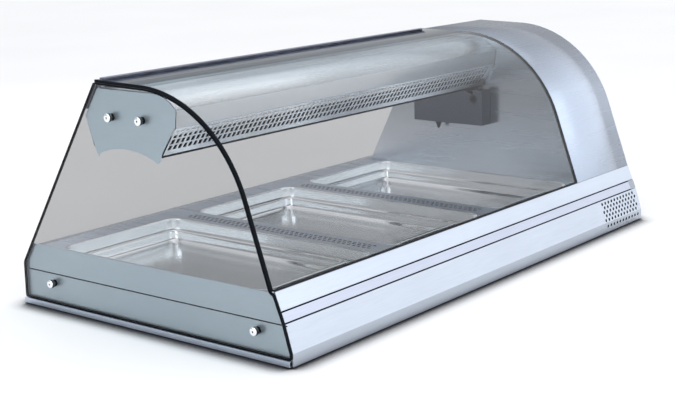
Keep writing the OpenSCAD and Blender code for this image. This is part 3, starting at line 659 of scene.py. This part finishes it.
def pressed_well(index):
    """The well that the pan hangs in: a rolled lip over the deck, a wall and a ledge."""
    low, high = mm_box(f"well_frame_{index}")
    box = (low.x, low.y, high.x, high.y)
    top, ledge = high.z, high.z - 25.0
    profile = [
        (-2.4, top + 0.05, 30), (-2.2, top + 0.35, 30), (-0.6, top + 0.4, 30), (0.6, top - 0.1, 30),
        (1.3, top - 1.1, 30), (1.6, top - 2.8, 30), (2.2, ledge + 3.4, 30), (2.8, ledge + 1.6, 30),
        (4.2, ledge + 0.3, 30), (6.0, ledge, 30), (12.9, ledge, 30), (13.5, ledge - 0.5, 30),
        (13.5, ledge - 1.5, 30), (4.0, ledge - 1.5, 30), (0.6, ledge + 1.0, 30), (0.1, top - 3.0, 30),
        (-0.4, top - 1.0, 30), (-2.2, top + 0.02, 30),
    ]
    pan_front = mm_box(f"gn_pan_{index}")[0].y - 1.5
    bay = (low.x, pan_front - 1.5, high.x, high.y)
    bm = bmesh.new()
    rings = [rect_ring(bay if 12 < inward else box, inward, z, r) for inward, z, r in profile]
    loft(bm, rings, wrap=True)
    smooth(bm, 40)
    return piece(
        f"pressed_well_{index}", bm, [MATERIALS["steel_pressed"]], "case",
        [f"well_frame_{index}"],
    )


def trim_strip():
    """The strip between the front panels: a satin face and a rebate along each edge, painted near-black as
    shade.
    """
    low, high = mm_box("front_trim_strip")
    foot, head = Vector((16.8, 84.6)), Vector((25.0, 105.7))
    along = (head - foot).normalized()
    out = Vector((-along.y, along.x))
    shelf, back, rim, reach = -1.4, -2.1, 1.3, 1.3
    section = [
        foot - along * reach + out * back, head + along * reach + out * back,
        head + along * reach + out * shelf, head - along * rim + out * shelf,
        head - along * (rim + 0.2), foot + along * (rim + 0.2),
        foot + along * rim + out * shelf, foot - along * reach + out * shelf,
    ]
    bm = extruded(section, low.x, high.x, 0.2)
    bm.normal_update()
    for face in bm.faces:
        middle = (face.calc_center_median() - CASE_ZERO) / MM
        depth = (Vector((middle.y, middle.z)) - foot).dot(out)
        # Rebate faces get the near-black painted shade.
        face.material_index = 0 if depth > -0.3 else 1
    smooth(bm, 20)
    held = [MATERIALS["steel_trim"], EDGE_SHADE]
    return piece("trim_strip", bm, held, "case", ["front_trim_strip"])


def shadow_lines():
    """A black strip in the groove pressed along the left side panel, and a black sheet behind the vents:
    painted shadow in the groove and painted shade behind the vent holes.
    """
    low, high = mm_box("left_side_panel")
    # Painted shadow: a black strip in the side panel's groove.
    groove = [Vector(p) for p in rounded_rect(low.y + 9, 79.0, high.y - 7, 81.6, 1.0, 4)]
    bm = extruded(groove, low.x - 0.5, low.x + 0.3, 0.2)
    smooth(bm, 30)
    piece("panel_groove_shadow", bm, [MATERIALS["rubber_black"]], "case")
    # Painted shade: a black sheet behind the vent holes.
    right = mm_box("front_lower_panel")[1].x
    section = [Vector(p) for p in ((9, 12), (9, 28), (24, 80), (22, 81), (7, 29), (7, 12))]
    bm = extruded(section, right - 212, right - 6, 0.3)
    smooth(bm, 20)
    piece("vent_shade_sheet", bm, [MATERIALS["rubber_black"]], "case")


def cap_screws():
    """Domed bright caps that hold the side pane, with their side walls and sockets painted black as shade."""
    high = mm_box("glass_screws")[1]
    centres = [(87, 60), (677, 60), (376, 439.5), (465, 439.5)]
    profile = [
        (2.0, -high.x), (2.8, -high.x + 0.8), (2.8, 0.1), (8.7, 0.2), (9.0, 0.6), (9.0, 6.9),
        (8.7, 7.7), (7.9, 8.4), (6.6, 8.9), (4.4, 9.15), (2.3, 9.2), (1.9, 9.0), (1.7, 7.6), (0.4, 7.5),
    ]
    bm = bmesh.new()
    for y, z in centres:
        turned(bm, profile, at(0, y, z), (-1, 0, 0))
    for face in bm.faces:
        middle = (face.calc_center_median() - CASE_ZERO) / MM
        reach = min(math.dist((middle.y, middle.z), centre) for centre in centres)
        # Painted shade: the side wall and the socket in the dome are black, for the dark crescent and dimple
        # that shade gives each cap.
        wall = -7.2 < middle.x < 0 and reach > 2.8
        face.material_index = 1 if wall or (reach < 1.95 and middle.x < -7) else 0
    smooth(bm, 40)
    held = [MATERIALS["chrome_cap"], MATERIALS["plastic_black"]]
    return piece("cap_screws", bm, held, "case", ["glass_screws"])


# ---- stage ---------------------------------------------------------------------


def knob():
    """The thermostat knob: a flange, a fluted grip and a white pointer."""
    low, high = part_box("thermostat_knob")
    middle, axis = (low + high) / 2, Vector((0, math.cos(REAR_LEAN), math.sin(REAR_LEAN)))
    side, up = Vector((1, 0, 0)), Vector((0, -math.sin(REAR_LEAN), math.cos(REAR_LEAN)))
    foot = at(KNOB_AT.x, CROWN.x + KNOB_AT.y * math.sin(REAR_LEAN), CROWN.y - KNOB_AT.y * math.cos(REAR_LEAN))
    foot.x = middle.x
    flutes, steps = 18, 144
    profile = [
        (2.9, -18.0, 0), (2.9, 3.4, 0), (21.0, 3.6, 0), (22.0, 4.4, 0), (22.0, 7.0, 0), (21.2, 7.6, 0),
        (18.4, 8.0, 0.2), (18.0, 9.0, 1), (17.6, 21.5, 1), (17.0, 22.8, 1), (16.0, 23.5, 0.4),
        (14.0, 23.6, 0), (2.0, 23.6, 0),
    ]
    rings = []
    for r, h, deep in profile:
        ring = []
        for k in range(steps):
            a = 2 * math.pi * k / steps
            reach = r - deep * 0.5 * (1 + math.cos(flutes * a))
            ring.append(foot + (side * math.cos(a) + up * math.sin(a)) * reach * MM + axis * h * MM)
        rings.append(ring)
    bm = bmesh.new()
    loft(bm, rings)
    smooth(bm, 30)
    piece("knob_grip", bm, [MATERIALS["plastic_black"]], "knob", ["thermostat_knob"])
    bm = bmesh.new()
    line = [(-0.8, 3.0), (0.8, 3.0), (0.8, 14.5), (0.4, 15.3), (-0.4, 15.3), (-0.8, 14.5)]
    loft(bm, [[foot + (side * x + up * y) * MM + axis * h * MM for x, y in line] for h in (23.2, 23.65)])
    piece("knob_pointer", bm, [MATERIALS["control_white"]], "knob")


def dial_marks():
    """Raised ticks round the knob, from low to high."""
    axis = Vector((0, math.cos(REAR_LEAN), math.sin(REAR_LEAN)))
    side, up = Vector((1, 0, 0)), Vector((0, -math.sin(REAR_LEAN), math.cos(REAR_LEAN)))
    foot = at(KNOB_AT.x, CROWN.x + KNOB_AT.y * math.sin(REAR_LEAN), CROWN.y - KNOB_AT.y * math.cos(REAR_LEAN))
    foot.x = (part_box("thermostat_knob")[0].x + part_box("thermostat_knob")[1].x) / 2
    ticks, sweep, wide = 10, 270, 0.5
    bm = bmesh.new()
    for k in range(ticks):
        a = math.radians(90 + sweep / 2 - sweep * k / (ticks - 1))
        out, across = side * math.cos(a) + up * math.sin(a), up * math.cos(a) - side * math.sin(a)
        line = [(25.0, -wide), (28.6, -wide), (29.0, 0), (28.6, wide), (25.0, wide)]
        loft(bm, [[foot + (out * r + across * w + axis * h) * MM for r, w in line] for h in (-0.4, 0.25)])
    piece("dial_marks", bm, [MATERIALS["plastic_black"]], "case")


def make_floor():
    g = Graph("floor_white")
    cloud = g.noise(1.2, 2)
    tone = g.blend(g.remap(cloud, 0, 1), (0.725, 0.72, 0.715, 1), (0.745, 0.74, 0.735, 1))
    # A tight contact shadow where the case stands
    contact = g.add("AmbientOcclusion", {"samples": 8}, Distance=0.05).outputs["AO"]
    tone = g.blend(g.remap(contact, 1, 0, 0.64, 0.95), tone, (0.03, 0.03, 0.035, 1))
    shader = g.add("BsdfPrincipled", Base_Color=tone, Roughness=g.remap(cloud, 0.7, 0.8))
    material = g.finish(shader.outputs[0])
    bm = bmesh.new()
    bmesh.ops.create_grid(bm, x_segments=8, y_segments=8, size=30)
    mesh = bpy.data.meshes.new("floor")
    bm.to_mesh(mesh)
    bm.free()
    mesh.materials.append(material)
    floor = bpy.data.objects.new("floor", mesh)
    bpy.context.scene.collection.objects.link(floor)


def make_world():
    """A soft studio: bright above and in front, dimmer low down behind the case."""
    world = bpy.data.worlds.new("studio")
    bpy.context.scene.world = world
    world.use_nodes = True
    tree = world.node_tree
    tree.nodes.clear()
    coords = tree.nodes.new("ShaderNodeTexCoord")
    split = tree.nodes.new("ShaderNodeSeparateXYZ")
    tree.links.new(coords.outputs["Generated"], split.inputs[0])

    def ramp(source, low, stops):
        spread = tree.nodes.new("ShaderNodeMapRange")
        spread.inputs["From Min"].default_value = low
        tree.links.new(split.outputs[source], spread.inputs["Value"])
        made = tree.nodes.new("ShaderNodeValToRGB")
        tree.links.new(spread.outputs[0], made.inputs[0])
        elements = made.color_ramp.elements
        elements[0].position, elements[1].position = stops[0][0], stops[-1][0]
        for position, _ in stops[1:-1]:
            elements.new(position)
        for element, (_, value) in zip(elements, stops):
            element.color = (value, value, value, 1)
        return made.outputs[0]

    # From the front (0) round to the rear (1), and from the horizon (0) up to the zenith (1)
    around = ramp("Y", -1.0, [(0.0, 1.0), (0.42, 1.0), (0.66, 0.60), (0.80, 0.34), (1.0, 0.25)])
    above = ramp("Z", 0.0, [(0.0, 0.0), (0.45, 0.04), (0.85, 1.0), (1.0, 1.0)])
    tinted = tree.nodes.new("ShaderNodeMix")
    tinted.data_type = "RGBA"
    tree.links.new(around, tinted.inputs[0])
    tinted.inputs[6].default_value = (0.0, 0.0, 0.0, 1)
    tinted.inputs[7].default_value = (1.55, 1.59, 1.67, 1)
    blend = tree.nodes.new("ShaderNodeMix")
    blend.data_type = "RGBA"
    tree.links.new(above, blend.inputs[0])
    tree.links.new(tinted.outputs[2], blend.inputs[6])
    blend.inputs[7].default_value = (1.42, 1.43, 1.46, 1)
    back = tree.nodes.new("ShaderNodeBackground")
    back.inputs["Strength"].default_value = 1.0
    tree.links.new(blend.outputs[2], back.inputs["Color"])
    out = tree.nodes.new("ShaderNodeOutputWorld")
    tree.links.new(back.outputs[0], out.inputs["Surface"])


def softbox(name, place, target, width, height, power, colour=(1, 1, 1)):
    data = bpy.data.lights.new(name, "AREA")
    data.shape = "RECTANGLE"
    data.size, data.size_y = width, height
    data.energy = power
    data.color = colour
    lamp = bpy.data.objects.new(name, data)
    bpy.context.scene.collection.objects.link(lamp)
    lamp.location = place
    lamp.rotation_euler = (Vector(target) - Vector(place)).to_track_quat("-Z", "Y").to_euler()


def make_lights():
    softbox("front_box", (0.6, -3.4, 1.6), (0.1, 0, 0.2), 3.4, 1.6, 10, (0.94, 0.97, 1.0))
    softbox("top_box", (0.0, -0.4, 3.2), (0, 0, 0.2), 3.6, 1.6, 14)
    softbox("left_box", (-3.6, 0.6, 1.4), (-0.4, 0, 0.2), 2.4, 1.6, 24, (0.86, 0.94, 1.0))
    softbox("rear_box", (0.3, 3.2, 1.5), (0, 0, 0.2), 3.0, 1.0, 8)


def make_camera():
    """The photograph's view: position, heading, tilt and roll."""
    heading, tilt, roll = math.radians(-52.418), math.radians(9.878), math.radians(-1.2916)
    look = Vector((-math.sin(heading) * math.cos(tilt), math.cos(heading) * math.cos(tilt), -math.sin(tilt)))
    right = Vector((look.y, -look.x, 0)).normalized()
    up = right.cross(look)
    across = right * math.cos(roll) + up * math.sin(roll)
    above = up * math.cos(roll) - right * math.sin(roll)
    data = bpy.data.cameras.new("photo_camera")
    data.sensor_width, data.lens = 36.0, 73.58
    data.shift_x, data.shift_y = -0.063, -0.1007
    camera = bpy.data.objects.new("photo_camera", data)
    bpy.context.scene.collection.objects.link(camera)
    turn = Matrix((across, above, -look)).transposed().to_4x4()
    camera.matrix_world = Matrix.Translation(at(-1842.2, -1638.9, 872.9)) @ turn
    bpy.context.scene.camera = camera


def main():
    dress_cad_nodes()
    front_pane()
    side_pane()
    housing_skin()
    canopy_skin()
    canopy_back_sheet()
    reflector_sheet()
    for index in (1, 2, 3):
        pressed_pan(index)
        pressed_well(index)
    trim_strip()
    shadow_lines()
    cap_screws()
    knob()
    dial_marks()
    make_floor()
    make_world()
    make_lights()
    make_camera()
    bpy.context.scene.view_settings.view_transform = "Standard"


main()
